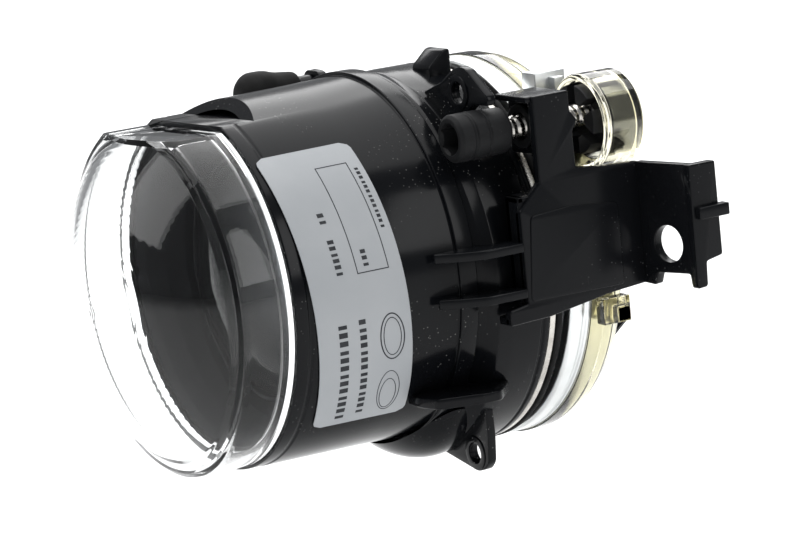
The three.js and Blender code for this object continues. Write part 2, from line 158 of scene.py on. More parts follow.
PLANES = {
    "X": Matrix(((0, 0, 1), (1, 0, 0), (0, 1, 0))),
    "Y": Matrix(((1, 0, 0), (0, 0, -1), (0, 1, 0))),
    "Z": Matrix(((1, 0, 0), (0, 1, 0), (0, 0, 1))),
}


def plate(outlines, across, low, high, edge=0.3, corner=0.5):
    """A plate from an outline and its holes, with rounded edges and corners."""
    curve = bpy.data.curves.new("plate", "CURVE")
    curve.dimensions = "2D"
    curve.fill_mode = "BOTH"
    curve.extrude = (high - low) / 2 - edge
    curve.bevel_depth = edge
    curve.bevel_resolution = 2
    curve.offset = -edge
    for index, points in enumerate(outlines):
        ring = rounded(points, corner) if index == 0 and corner else [Vector(p) for p in points]
        spline = curve.splines.new("POLY")
        spline.points.add(len(ring) - 1)
        for slot_point, p in zip(spline.points, ring):
            slot_point.co = (p.x, p.y, 0, 1)
        spline.use_cyclic_u = True
    holder = bpy.data.objects.new("plate", curve)
    mesh = bpy.data.meshes.new_from_object(holder)
    bm = bmesh.new()
    bm.from_mesh(mesh)
    bpy.data.objects.remove(holder)
    bpy.data.curves.remove(curve)
    bpy.data.meshes.remove(mesh)
    bmesh.ops.remove_doubles(bm, verts=bm.verts, dist=1e-4)
    turn = PLANES[across].to_4x4()
    middle = {"X": Vector((1, 0, 0)), "Y": Vector((0, 1, 0)), "Z": Vector((0, 0, 1))}[across]
    bmesh.ops.transform(bm, matrix=Matrix.Translation(middle * (low + high) / 2) @ turn, verts=bm.verts)
    bmesh.ops.recalc_face_normals(bm, faces=bm.faces)
    return bm


def block(x0, x1, y0, y1, z0, z1, edge=0.35):
    return plate([[(x0, y0), (x1, y0), (x1, y1), (x0, y1)]], "Z", z0, z1, edge, edge)


def moved(bm, matrix):
    bmesh.ops.transform(bm, matrix=matrix, verts=bm.verts)
    return bm


def turned_about_y(bm, degrees, at=(0, 0, 0)):
    centre = Matrix.Translation(at)
    return moved(bm, centre @ Matrix.Rotation(math.radians(degrees), 4, "Y") @ centre.inverted())


def flat_slab(low, high, y0, y1):
    """A slab parallel to the top flat, between two distances from the barrel axis."""
    return turned_about_y(block(-40, 40, y0, y1, low, high, 0.05), 90 - FLAT_ANGLE)


def scratch_object(bm):
    mesh = bpy.data.meshes.new("scratch")
    bm.to_mesh(mesh)
    bm.free()
    holder = bpy.data.objects.new("scratch", mesh)
    bpy.context.scene.collection.objects.link(holder)
    return holder


def boolean(bm, tools, operation="DIFFERENCE"):
    """Cuts from a shape, or joins to it, each of the tools in turn."""
    base = scratch_object(bm)
    others = [scratch_object(tool) for tool in tools]
    for other in others:
        modifier = base.modifiers.new("cut", "BOOLEAN")
        modifier.operation = operation
        modifier.solver = "EXACT"
        modifier.object = other
    bpy.context.view_layer.update()
    done = base.evaluated_get(bpy.context.evaluated_depsgraph_get())
    result = bmesh.new()
    result.from_mesh(done.data)
    for holder in [base, *others]:
        mesh = holder.data
        bpy.data.objects.remove(holder)
        bpy.data.meshes.remove(mesh)
    return result


def piece(name, shapes, body, look, stands_for=(), smooth=32):
    """Joins the shapes into one object, moves it to the frame and gives it its look."""
    mesh = bpy.data.meshes.new(name)
    whole = bmesh.new()
    for bm in shapes:
        part = bpy.data.meshes.new("part")
        bm.to_mesh(part)
        bm.free()
        whole.from_mesh(part)
        bpy.data.meshes.remove(part)
    moved(whole, Matrix.Scale(MM, 4) @ Matrix.Translation(-ORIGIN))
    whole.to_mesh(mesh)
    whole.free()
    mesh.shade_smooth()
    mesh.set_sharp_from_angle(angle=math.radians(smooth))
    thing = bpy.data.objects.new(name, mesh)
    bpy.context.scene.collection.objects.link(thing)
    mesh.materials.append(look)
    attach(thing, body)
    if stands_for:
        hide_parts(*stands_for)
    return thing


# ---- materials ----
class Look:
    """A Principled material whose colour, roughness and bump come from nodes in object space."""

    def __init__(self, name, roughness=0.5, **values):
        self.material = bpy.data.materials.new(name)
        self.material.use_nodes = True
        self.tree = self.material.node_tree
        self.shader = self.tree.nodes["Principled BSDF"]
        self.shader.inputs["Roughness"].default_value = roughness
        for key, value in values.items():
            self.shader.inputs[key.replace("_", " ")].default_value = value
        self.place = self.node("ShaderNodeTexCoord").outputs["Object"]
        self.height = None

    def node(self, kind, **settings):
        made = self.tree.nodes.new(kind)
        for key, value in settings.items():
            setattr(made, key, value)
        return made

    def link(self, source, target):
        self.tree.links.new(source, target)

    def noise(self, scale, detail=3, stretch=(1, 1, 1), turn=(0, 0, 0)):
        mapping = self.node("ShaderNodeMapping")
        mapping.inputs["Scale"].default_value = stretch
        mapping.inputs["Rotation"].default_value = turn
        self.link(self.place, mapping.inputs["Vector"])
        noise = self.node("ShaderNodeTexNoise")
        noise.inputs["Scale"].default_value = scale
        noise.inputs["Detail"].default_value = detail
        self.link(mapping.outputs["Vector"], noise.inputs["Vector"])
        return noise.outputs["Fac"]

    def spots(self, scale, size):
        """1 in small scattered dots, 0 elsewhere."""
        cells = self.node("ShaderNodeTexVoronoi")
        cells.inputs["Scale"].default_value = scale
        self.link(self.place, cells.inputs["Vector"])
        return self.curve(cells.outputs["Distance"], size, size * 0.6, 0, 1)

    def curve(self, source, low, high, to_low, to_high):
        remap = self.node("ShaderNodeMapRange")
        for key, value in zip(("From Min", "From Max", "To Min", "To Max"), (low, high, to_low, to_high)):
            remap.inputs[key].default_value = value
        self.link(source, remap.inputs["Value"])
        return remap.outputs["Result"]

    def times(self, a, b):
        product = self.node("ShaderNodeMath", operation="MULTIPLY")
        self.link(a, product.inputs[0])
        self.link(b, product.inputs[1])
        return product.outputs["Value"]

    def most(self, a, b):
        larger = self.node("ShaderNodeMath", operation="MAXIMUM")
        self.link(a, larger.inputs[0])
        self.link(b, larger.inputs[1])
        return larger.outputs["Value"]

    def colours(self, factor, first, second):
        mix = self.node("ShaderNodeMix", data_type="RGBA")
        mix.inputs["A"].default_value = (*first, 1)
        mix.inputs["B"].default_value = (*second, 1)
        self.link(factor, mix.inputs["Factor"])
        self.link(mix.outputs["Result"], self.shader.inputs["Base Color"])

    def rough(self, factor, low, high):
        self.link(self.curve(factor, 0, 1, low, high), self.shader.inputs["Roughness"])

    def bump(self, source, depth_mm, strength=1.0):
        bump = self.node("ShaderNodeBump")
        bump.inputs["Distance"].default_value = depth_mm * MM
        bump.inputs["Strength"].default_value = strength
        if self.height:
            self.link(self.height, bump.inputs["Normal"])
        self.link(source, bump.inputs["Height"])
        self.link(bump.outputs["Normal"], self.shader.inputs["Normal"])
        self.height = bump.outputs["Normal"]


SHINE = 0.13  # how strongly the black plastics mirror the studio


def moulded_black(name, dark, dust, low, high, grain_mm, specks=1.0):
    """Moulded black plastic with clouded gloss, scattered dust and fine scratches."""
    look = Look(name, IOR=1.5, Specular_IOR_Level=SHINE)
    clouds = look.noise(28, 4)
    patches = look.curve(look.noise(45, 3), 0.47, 0.66, 0, specks)
    dots = look.times(look.spots(750, 0.16), patches)
    hairs = look.curve(look.noise(60, 2, stretch=(1, 26, 1), turn=(0.3, 0.5, 0.9)), 0.735, 0.76, 0, 0.5)
    marks = look.most(dots, look.times(hairs, patches))
    look.colours(marks, dark, dust)
    look.rough(clouds, low, high)
    look.bump(look.noise(2600, 2), grain_mm)
    return look.material


def metal(name, colour, worn, low, high, stretch=(1, 1, 1)):
    look = Look(name, Metallic=1.0)
    streaks = look.noise(900, 3, stretch=stretch)
    look.colours(look.curve(look.noise(220, 4), 0.35, 0.75, 0, 1), colour, worn)
    look.rough(streaks, low, high)
    look.bump(streaks, 0.01)
    return look.material


def clear(name, tint, edge_tint, low, high, ior=1.55, ripple_mm=0.0):
    """Clear moulded plastic: a slight change of tint and faint handling marks."""
    look = Look(name, IOR=ior)
    look.shader.inputs["Transmission Weight"].default_value = 1.0
    look.colours(look.curve(look.noise(30, 2), 0.3, 0.7, 0, 1), tint, edge_tint)
    look.rough(look.curve(look.noise(160, 4), 0.45, 0.75, 0, 1), low, high)
    if ripple_mm:
        look.bump(look.noise(110, 2), ripple_mm)
    return look.material


def rubber(name, dark, pale):
    look = Look(name, IOR=1.5, Specular_IOR_Level=SHINE)
    look.colours(look.curve(look.noise(120, 5), 0.4, 0.8, 0, 1), dark, pale)
    look.rough(look.noise(300, 2), 0.55, 0.85)
    look.bump(look.noise(1800, 3), 0.03)
    return look.material


def printed_paper():
    look = Look("label_film", IOR=1.45)
    clouds = look.curve(look.noise(60, 4), 0.35, 0.7, 0, 1)
    look.colours(clouds, (0.37, 0.385, 0.40), (0.335, 0.352, 0.368))
    look.rough(look.noise(90, 3), 0.36, 0.5)
    look.bump(look.noise(700, 3), 0.008)
    return look.material


GLOSS = moulded_black("gloss_black_plastic", (0.004, 0.0045, 0.0055), (0.13, 0.13, 0.125), 0.1, 0.24, 0.004)
ARM_LOOK = moulded_black(
    "arm_black_plastic", (0.0045, 0.005, 0.006), (0.13, 0.13, 0.13), 0.16, 0.3, 0.006, 0.6,
)
MATTE = moulded_black("matte_black_plastic", (0.009, 0.0093, 0.010), (0.07, 0.07, 0.07), 0.42, 0.6, 0.02, 0.5)
GREY = moulded_black("matte_grey_plastic", (0.008, 0.0085, 0.0095), (0.07, 0.07, 0.07), 0.6, 0.8, 0.015, 0.4)
LENS_CLEAR = clear("lens_clear", (0.985, 0.99, 0.99), (0.975, 0.985, 0.985), 0.0, 0.02, 1.27)
MODULE_GLASS = clear("module_glass", (0.30, 0.31, 0.32), (0.27, 0.28, 0.29), 0.02, 0.08, 1.16)
AMBER = clear("amber_clear", (0.97, 0.94, 0.78), (0.95, 0.91, 0.70), 0.02, 0.09, 1.5, 0.006)
STEEL = metal("plated_steel", (0.62, 0.60, 0.56), (0.42, 0.40, 0.37), 0.18, 0.34)
SILVER = metal("satin_silver", (0.80, 0.82, 0.82), (0.74, 0.76, 0.75), 0.26, 0.4)
CHROME = metal("bright_chrome", (0.90, 0.91, 0.92), (0.84, 0.85, 0.86), 0.04, 0.1)
# painted reflection: the liner metal is coloured dark to stand in for the dark surroundings mirrored in the
# metallised cup liner
LINER_DARK_REFLECTION = metal("liner_painted_reflection_metal", (0.16, 0.17, 0.19), (0.22, 0.23, 0.25), 0.1, 0.2)
BRASS = metal("plain_brass", (0.72, 0.52, 0.22), (0.5, 0.36, 0.16), 0.22, 0.4)
RUBBER = rubber("black_rubber", (0.006, 0.006, 0.006), (0.016, 0.016, 0.016))
PAPER = printed_paper()
INK = rubber("printed_ink", (0.03, 0.032, 0.036), (0.06, 0.062, 0.066))


# ---- lens ----
def dome_y(r, shell=0.0):
    radius = DOME_R - shell
    return DOME_APEX + DOME_R - math.sqrt(radius * radius - r * r)


def lens_outer(steps=26):
    radii = [DOME_EDGE_R * k / steps for k in range(steps + 1)]
    return [(dome_y(r), r) for r in radii] + [(-14.6, 42.8), (-13.2, 44.2), (-12, 44.4)]


def make_lens():
    outer = lens_outer()
    inner_radii = [DOME_INSIDE_R * k / 26 for k in range(26, -1, -1)]
    inner = [(dome_y(r, LENS_WALL), r) for r in inner_radii]
    skirt = [(-0.3, LENS_R), (-0.3, RIM_R - 4.6), (-2.4, RIM_R - 4.6), (-2.4, 42.1), (-12.2, 42)]
    shell = turned([*outer, *skirt, *inner], 0.25, LENS_FACETS)
    whole = turned([*outer, (-0.3, LENS_R), (-0.3, 0)], 0.25, LENS_FACETS)
    wall = boolean(whole, [flat_slab(LENS_FLAT - LENS_WALL, LENS_FLAT - 0.05, -26, -0.35)], "INTERSECT")
    joined = boolean(shell, [wall], "UNION")
    cut = boolean(joined, [flat_slab(LENS_FLAT, 60, -40, 1)])
    piece("clear_lens", [cut], "root", LENS_CLEAR, ["lens"], 25)


# ---- housing ----
UPPER_EAR = [(21, 42), (29.8, 44.9), (35.4, 48.4), (38.7, 49.2), (41.8, 48.6), (50.1, 42.5), (50.1, 40.2),
             (44, 40.2), (41, 38.6), (38.7, 35), (38.2, 31), (36, 26)]
LOWER_EAR = [(12, -42), (10, -50), (25.8, -52.7), (29.4, -53.3), (32.8, -52.3), (34.9, -50.2), (35.7, -43.2),
             (35.5, -36), (28, -34)]


def ear(shape, angle):
    """A drilled ear with a low pad round its hole."""
    x, z = (EAR_HOLE_R * f(math.radians(angle)) for f in (math.cos, math.sin))
    sheet = plate([shape, circle(x, z, EAR_SCREW_R)], "Y", EAR_Y, EAR_Y + EAR_THICK, 0.35, 1.0)
    pad = plate([circle(x, z, EAR_PAD_R), circle(x, z, EAR_SCREW_R)], "Y", EAR_Y - 0.3, EAR_Y + 1, 0.15, 0)
    return [sheet, pad]


def make_housing():
    profile = [
        (0, RIM_R), (3.2, RIM_R + 0.05), (3.5, RIM_R - 0.15), (4.1, RIM_R - 0.15), (4.4, RIM_R + 0.15),
        (BARREL_MIDDLE_Y, BARREL_MIDDLE_R), (HOOP_START, BARREL_R), (HOOP_START, HOOP_R),
        (HOOP_END, HOOP_R), (HOOP_END, BARREL_R + 0.2), (51, 47.4),
        (REAR_START, REAR_R - 0.2), (58, REAR_R), (REAR_END - 2.4, REAR_R), (REAR_END - 2.1, REAR_R - 0.35),
        (REAR_END - 1.6, REAR_R - 0.35), (REAR_END - 1.3, REAR_R), (REAR_END, REAR_R),
        (REAR_END, REAR_R - WALL), (REAR_START, REAR_R - WALL), (HOOP_END, BARREL_R - WALL),
        (BARREL_MIDDLE_Y, BARREL_MIDDLE_R - WALL), (0, RIM_R - WALL),
    ]
    shell = turned(profile, 0.35, SHELL_FACETS, drop=(HOOP_END, REAR_START, DROP))
    ramp = [(-8, HOUSING_FLAT), (9, HOUSING_FLAT), (15, 47), (15, 60), (-8, 60)]
    flat = turned_about_y(plate([ramp], "X", -40, 40, 0.02, 0), 90 - FLAT_ANGLE)
    belly = new_ellipsoid((4, 52, -28), (30, 18, 24.5))
    hollow = turned([(20, 0), (20, 43.6), (REAR_START, REAR_R - WALL), (80, REAR_R - WALL), (80, 0)], 0.1,
                    drop=(HOOP_END, REAR_START, DROP))
    slab = flat_slab(HOUSING_FLAT - WALL, HOUSING_FLAT - 0.02, 0.05, 17)
    core = turned([(0.05, 0), (0.05, RIM_R - 0.4), (16, RIM_R - 0.4), (16, 0)], 0.1)
    flat_wall = boolean(core, [slab], "INTERSECT")
    ears = [*ear(UPPER_EAR, EAR_ANGLES[0]), *ear(LOWER_EAR, EAR_ANGLES[1])]
    fin_shape = [(-34, 28), (-24, 36), (-31, 44), (-38, 44), (-46, 30)]
    fin = plate([fin_shape], "Y", EAR_Y, EAR_Y + EAR_THICK, 0.4, 2)
    top_lug_shape = [(62, 42), (68.3, 42), (68.3, 50.4), (66.4, 50.4), (62, 46.5)]
    top_lug = plate([top_lug_shape], "X", 5, 13.5, 0.4, 0.8)
    shelf_shape = [(20, 36), (40, 33.7), (46, 35.5), (50, 46), (50.5, 51), (43, 58), (20, 60)]
    shelf = plate([shelf_shape], "Z", -31, -28.4, 0.4, 1.2)
    lug = [block(-53, -49.4, 58, 84, -8, 2), block(-51, -44, 58, REAR_END, -8, 2)]
    body = boolean(boolean(shell, [flat]), [boolean(belly, [hollow])], "UNION")
    parts = [body, flat_wall, *ears, fin, top_lug, shelf, *lug]
    piece("housing_shell", parts, "root", GLOSS, ["housing"], 30)


def new_ellipsoid(centre, radii):
    bm = bmesh.new()
    bmesh.ops.create_uvsphere(bm, u_segments=96, v_segments=56, radius=1)
    return moved(bm, Matrix.Translation(centre) @ Matrix.Diagonal((*radii, 1)))


def under_flat():
    """What is cut from the front pieces so that they clear the wall under the flat."""
    return flat_slab(HOUSING_FLAT - WALL - 0.3, 60, -1, 17)


def make_front_pieces():
    bezel = [
        (1, 39.8), (1.6, 42.2), (6, 42.4), (6, 40.6), (9, 40), (9.4, 39.2), (14, 38), (14.4, 37.4),
        (22, 36.4), (22, 35.4), (13, 34.9), (8, 36.4), (3, 38.4),
    ]
    piece("bezel_ring", [boolean(turned(bezel, 0.3), [under_flat()])], "root", GREY, ["bezel"])
    seal = [(0, RIM_R - 4.4), (0, RIM_R - 2.9), (1.1, RIM_R - 2.9), (1.1, RIM_R - 4.4)]
    bead = boolean(turned(seal, 0.35), [under_flat()])
    piece("seal_bead", [bead], "root", RUBBER, ["lens_seal"])
    clamp = [(REAR_END + 0.3, 45.6), (REAR_END + 0.3, 48.7), (70.6, 48.7), (70.6, 45.6)]
    piece("clamp_band", [turned(clamp, 0.3, z=-DROP)], "root", STEEL, ["clamp_ring"])
    gasket = [(70.9, 45.2), (70.9, 49), (72.6, 49), (72.6, 45.2)]
    piece("gasket_bead", [turned(gasket, 0.7, z=-DROP)], "root", RUBBER, ["gasket"])


# ---- label ----
LABEL_LOW, LABEL_HIGH, LABEL_WIDTH, LABEL_START, LABEL_SKEW = -44, 49, 25.4, 7.6, 6.4
FILM_THICK, PRINT_LOW, PRINT_HIGH = 0.22, 0.2, 0.26


def on_label(u, v, lift):
    """A point u along the label, 0 to 1 going up, and v across it in mm from its front edge."""
    angle = math.radians(LABEL_LOW + (LABEL_HIGH - LABEL_LOW) * u)
    y = LABEL_START - LABEL_SKEW * u + v
    r = RIM_R + (BARREL_R - RIM_R) * (y / HOOP_START) + 0.3 + lift
    return (r * math.cos(angle), y, r * math.sin(angle))


LABEL_LENGTH = RIM_R * math.radians(LABEL_HIGH - LABEL_LOW)


def label_patch(u_mm, v_mm, length, width, corner, low, high):
    """A rounded patch on the label with its own thickness, its sizes in mm."""
    step = 1.0
    rows = max(2, math.ceil(length / step) + 1)
    edge = []
    for k in range(rows):
        t = k / (rows - 1)
        from_end = min(t, 1 - t) * length
        inset = 0.0
        if from_end < corner:
            inset = corner - math.sqrt(corner ** 2 - (corner - from_end) ** 2)
        edge.append(((u_mm + t * length) / LABEL_LENGTH, inset))
    verts = []
    for u, inset in edge:
        for v in (v_mm + inset, v_mm + width / 2, v_mm + width - inset):
            verts.append(on_label(u, v, high))
        for v in (v_mm + width - inset, v_mm + width / 2, v_mm + inset):
            verts.append(on_label(u, v, low))
    faces = grid_faces(rows, 6, False)
    faces.append(tuple(range(5, -1, -1)))
    faces.append(tuple((rows - 1) * 6 + j for j in range(6)))
    return new_bm(verts, faces)


def label_oval(u_mm, v_mm, long_r, wide_r, line):
    """A plain oval ring printed on the label."""
    steps = 64
    verts = []
    for lift, grow in ((PRINT_LOW, 0), (PRINT_HIGH, 0), (PRINT_HIGH, line), (PRINT_LOW, line)):
        for k in range(steps):
            a = 2 * math.pi * k / steps
            u = u_mm + (long_r - grow) * math.cos(a)
            verts.append(on_label(u / LABEL_LENGTH, v_mm + (wide_r - grow) * math.sin(a), lift))
    return new_bm(verts, grid_faces(4, steps, True))


def frame_lines(u_mm, v_mm, length, width, line):
    """Four thin bars round a rectangle."""
    return [
        (u_mm, v_mm, length, line), (u_mm, v_mm + width - line, length, line),
        (u_mm, v_mm + line, line, width - 2 * line),
        (u_mm + length - line, v_mm + line, line, width - 2 * line),
    ]


def make_label():
    film = label_patch(0, 0, LABEL_LENGTH, LABEL_WIDTH, 2.2, 0.0, FILM_THICK)
    piece("label_film", [film], "root", PAPER, ["label"])
    bars = frame_lines(40.5, 13.2, 27, 8.6, 0.22)
    for u, v, count, pitch, height in (
        (2.4, 5.6, 13, 2.15, 2.9), (3.2, 11.2, 14, 1.95, 2.3), (41, 7.8, 6, 1.5, 2.1),
        (53.5, 7.8, 2, 1.6, 2.1), (42, 15.4, 3, 1.5, 1.7), (50, 22.9, 13, 1.25, 1.2),
    ):
        for k in range(count):
            bars.append((u + pitch * k, v, pitch * (0.62 if k % 3 else 0.45), height * 0.8))
    prints = [label_patch(*bar, 0.0, PRINT_LOW, PRINT_HIGH) for bar in bars]
    prints += [label_oval(*oval) for oval in (
        (24, 20, 6, 3.4, 0.32), (24, 20, 4.9, 2.5, 0.22),
        (8.6, 19.4, 6.3, 3.1, 0.2), (7.8, 19.3, 4.8, 2.3, 0.2),
    )]
    piece("label_print", prints, "root", INK)


# ---- mounting arm ----
def rib_outline(z):
    inside = math.sqrt(HOOP_R ** 2 - z * z) + 0.3
    return [(inside, 37.5), (inside + 1, 37.2), (51.5, 41), (55.4, 47), (ARM_X, 58.4), (inside + 2.8, 58.4),
            (inside + 2.8, 52), (inside + 0.2, 49.8)]


def flange():
    shape = [(0, -8.8), (4.4, -9.2), (5.6, -6), (16.2, -5.6), (16.6, -8.6), (FLANGE_LENGTH, -9),
             (FLANGE_LENGTH, 21.4), (0, 21.2)]
    bm = plate([shape, circle(9.8, 1.4, 4.6)], "Y", 0, FLANGE_THICK, 0.3, 0.6)
    place = Matrix.Translation((FLANGE_X, FLANGE_Y, 0)) @ Matrix.Rotation(math.radians(FLANGE_TURN), 4, "Z")
    return moved(bm, place)


def make_arm():
    inside = ARM_X - ARM_THICK
    panel = plate([[
        (52.2, -12.4), (63.5, -12.1), (81.2, -9.6), (93.4, -8.8), (93.4, 21.2), (82, 21.8), (74.6, 22.8),
        (74.6, 31.6), (76.3, 34), (74.3, 36.6), (74.3, 41.6), (63.9, 41.6), (63.9, 20.6), (57.6, 14.8),
        (57.6, -7.8), (52.2, -8.6),
    ]], "X", inside, ARM_X, 0.45, 0.6)
    step_low = plate([[(58.4, -7.4), (85.6, -8), (85.6, 12.4), (72, 13.9), (60.2, 13.2)]],
                     "X", ARM_X - 0.2, ARM_X + 0.35, 0.25, 1.2)
    bush_wall = plate([
        [(39.5, 26.4), (ARM_X - 1, 26.4), (ARM_X - 1, 41), (39.5, 41)], circle(SCREW_X, SCREW_Z, 4.5),
    ], "Y", 67.4, 70.6, 0.3, 0.5)
    low_shape = [(52.2, -12.4), (63.5, -12.1), (81.2, -9.6), (81.2, -7.8), (52.2, -10.4)]
    end_x = FLANGE_X + FLANGE_LENGTH * math.cos(math.radians(FLANGE_TURN))
    end_wall = plate([[(94.6, -9), (97.6, -8.6), (97.8, -2.6), (102.6, -1.7), (102.4, 21.4), (94.6, 21.4)]],
                     "X", end_x - 2.6, end_x, 0.35, 0.6)
    walls = [
        block(41.5, ARM_X - 1, 62.5, 74.3, 40, 41.5), block(50.6, ARM_X - 1, 57.6, 93.4, 16.4, 18),
        block(49.5, ARM_X - 1, 57.6, 59.4, -8, 18), plate([low_shape], "X", 50.6, ARM_X - 1, 0.3, 0.5),
        block(49.5, 51.4, 57.6, 72, -8, 18), block(end_x - 1, end_x + 1.8, 95.6, 104.4, 8, 11),
        block(50.4, inside + 0.2, 75.6, 84.4, -7.4, 1.4),
    ]
    ribs = [plate([rib_outline(z1)], "Z", z0, z1, 0.35, 1.2) for z0, z1 in ((4.8, 7.1), (-6.4, -4.1))]
    piece("arm_moulding", [panel, step_low, bush_wall, end_wall, flange(), *walls, *ribs],
          "root", ARM_LOOK, ["mounting_arm"], 30)


# ---- adjuster ----
def make_adjuster():
    profile = [
        (0, 0), (0, 5), (0.8, 5.85), (3.9, 5.9), (4.2, 5.55), (4.7, 5.55), (5, 5.9), (8, 5.9),
        (8.2, 5.5), (8.7, 5.5), (8.9, 5.75), (14.2, 5.6), (15, 4.8), (15, 0),
    ]
    cap = turned([(CAP_FRONT + y, r) for y, r in profile], 0.22, SMALL, SCREW_X, SCREW_Z)
    turns = [math.radians(a) for a in range(0, 360, 60)]
    hexagon = [(SCREW_X + HEX_R * math.sin(a), SCREW_Z + HEX_R * math.cos(a)) for a in turns]
    socket = plate([hexagon], "Y", CAP_FRONT - 4, CAP_FRONT + 6, 0.02, 0.15)
    mouth = turned([(CAP_FRONT - 2, 0), (CAP_FRONT - 2, 5.2), (CAP_FRONT + 0.7, 3.6), (CAP_FRONT + 0.7, 0)],
                   0.05, SMALL, SCREW_X, SCREW_Z)
    knob = boolean(cap, [socket, mouth])
    piece("adjuster_knob", [knob], "adjuster", MATTE, ["adjuster_cap"], 28)
    screw = thread(CAP_FRONT + 11.9, 91.4, 2.45, 2.95, THREAD_PITCH)
    piece("adjuster_thread", [screw], "adjuster", STEEL, ["adjuster_screw"], 40)
    bush = [
        (66.2, 3.4), (66.2, 5.4), (67.1, 5.4), (67.1, 4.1),
        (70.9, 4.1), (70.9, 5.6), (72.4, 5.6), (72.4, 3.4),
    ]
    collar = turned(bush, 0.3, SMALL, SCREW_X, SCREW_Z)
    piece("bush_collar", [collar], "root", MATTE, ["adjuster_bush"])


def thread(start, end, root, crest, pitch):
    """A screw with a real helical thread, and plain tapered ends."""
    rows, columns = round((end - start) / 0.125), 40
    verts = []
    for i in range(rows + 1):
        y = start + (end - start) * i / rows
        ends = min(1, (y - start) / 3, (end - y) / 1.5)
        for j in range(columns):
            phase = (y / pitch + j / columns) % 1
            ridge = max(0, 1 - abs(phase - 0.5) * 2.6)
            r = root + (crest - root) * ridge * max(0, ends)
            a = 2 * math.pi * j / columns
            verts.append((SCREW_X + r * math.cos(a), y, SCREW_Z + r * math.sin(a)))
    faces = grid_faces(rows + 1, columns, False)
    faces.append(tuple(range(columns - 1, -1, -1)))
    faces.append(tuple(rows * columns + j for j in range(columns)))
    return new_bm(verts, faces)


# ---- projector module ----
def make_carrier():
    front, shoulder, back, r = 74.8, 88, 92, 49
    drum = turned([
        (front, r - 3.4), (front, r - 0.6), (front + 0.8, r), (78.4, r), (78.7, r - 0.4), (79.4, r - 0.4),
        (79.7, r), (84.5, r), (87.6, 48.2), (90.6, 46.2), (93.4, 42.4), (95.2, 38.4), (95.8, 34),
        (95.8, 30), (96.3, 29.6),
        (96.3, 27), (95.8, 26.6), (95.8, 24), (BULB_SEAT, 22.6), (BULB_SEAT, 19), (back - 2.6, 20.4),
        (back - 2.6, r - 6.6), (shoulder, r - 3.4),
    ], 0.5, z=-DROP)
    skin = [(80.6, 49.1), (80.6, 49.5), (85, 49.5), (88.2, 48.7), (91.3, 46.6), (94.1, 42.8), (95.9, 38.9),
            (95.6, 38.5), (93.8, 42.5), (90.9, 46.3), (87.9, 48.35), (84.6, 49.1)]
    piece("carrier_skin", [turned(skin, 0.1, z=-DROP)], "module", AMBER)
    clip = [block(42, 51.5, 86, 90, -18.5, -14.5), block(48, 51.5, 82, 90, -18.5, -12)]
    top_lug = [block(27, 33, 80, 89, 30, 43.4), block(24.5, 35.5, 84, 87, 33, 42)]
    piece("carrier_drum", [drum, *top_lug], "module", SILVER, ["carrier"])
    piece("carrier_clip", clip, "module", AMBER)
    piece("adjuster_cup", [cup_shell()], "module", AMBER)
    liner = [(CUP_FRONT + 3.2, 9.3), (CUP_FRONT + 3.2, 9.6), (CUP_BACK - 1.9, 9.6), (CUP_BACK - 1.9, 9.3)]
    # the liner's dark colour is painted reflection, not the metal's own tint
    piece("cup_liner", [turned(liner, 0.05, CUP_FACETS, CUP_X, CUP_Z)], "module", LINER_DARK_REFLECTION)


def cup_shell():
    profile = [
        (CUP_BACK - 1.6, 0), (CUP_BACK - 1.6, 9.8), (CUP_FRONT + 2.4, 9.8), (CUP_FRONT + 1.6, 10.4),
        (CUP_FRONT, 10.4), (CUP_FRONT, 11.4), (CUP_FRONT + 0.7, CUP_R), (CUP_BACK - 0.8, CUP_R),
        (CUP_BACK, 11.2), (CUP_BACK, 0),
    ]
    return turned(profile, 0.3, CUP_FACETS, CUP_X, CUP_Z)


def make_nut():
    nut_z = SCREW_Z - NUT_DROP
    profile = [
        (CUP_FRONT - 1.5, 4.6), (CUP_FRONT - 1.5, 8.6), (CUP_FRONT + 1.5, 8.8),
        (92, 8.8), (93, 7.4), (93, 4.6),
    ]
    nut = turned(profile, 0.25, SMALL, CUP_X, nut_z)
    slots = []
    for turn in (0, 60, 120):
        bar = block(CUP_X - 1.5, CUP_X + 1.5, CUP_FRONT - 3, CUP_FRONT + 2, nut_z - 10, nut_z + 10)
        slots.append(turned_about_y(bar, turn, (CUP_X, 0, nut_z)))
    piece("castle_nut", [boolean(nut, slots)], "module", MATTE, ["adjuster_nut"], 28)


def make_module():
    radii = [12 + (REFLECTOR_R - 12) * k / 14 for k in range(15)]
    face = [(88.8 - 13 * (r / REFLECTOR_R) ** 2, r) for r in radii]
    back = [(88.8 - 13 * ((r - 1.6) / REFLECTOR_R) ** 2, r) for r in reversed(radii)]
    piece("reflector_bowl", [turned([*face, *back], 0.1, z=-DROP)], "module", CHROME, ["reflector"])
    holder = [
        (13, 29.8), (13, 30.9), (17, 30.9), (22, 30.9), (60, 39), (73.6, 43), (73.6, 41.4),
        (60, 37.4), (21, 29.4), (21, 27), (19, 27), (19, 29.8),
    ]
    tube = turned(holder, 0.3, drop=(20, 73, DROP))
    piece("holder_tube", [tube], "module", GREY, ["lens_holder"])
    lens_radii = [PROJECTOR_R * k / 20 for k in range(21)]
    front = [(14 - 9 * (1 - (r / PROJECTOR_R) ** 2), r) for r in lens_radii]
    lens = turned([*front, (18.4, PROJECTOR_R), (18.4, 0)], 0.2)
    piece("projector_glass", [lens], "module", MODULE_GLASS, ["projector_lens"], 25)
    blade_shape = [(-20, -24), (20, -24), (20, -2), (4, -2), (0, 1), (-20, 1)]
    shield_back = SHIELD_Y + SHIELD_THICK
    disc = turned([(SHIELD_Y, 14), (SHIELD_Y, 35.6), (shield_back, 35.6), (shield_back, 14)], 0.2)
    shield = [disc, plate([blade_shape], "Y", SHIELD_Y, shield_back, 0.2, 0.4)]
    for bm in shield:
        moved(bm, Matrix.Translation((0, 0, 0.5 - DROP)))
    piece("shield_plate", shield, "module", GREY, ["cutoff_shield"])


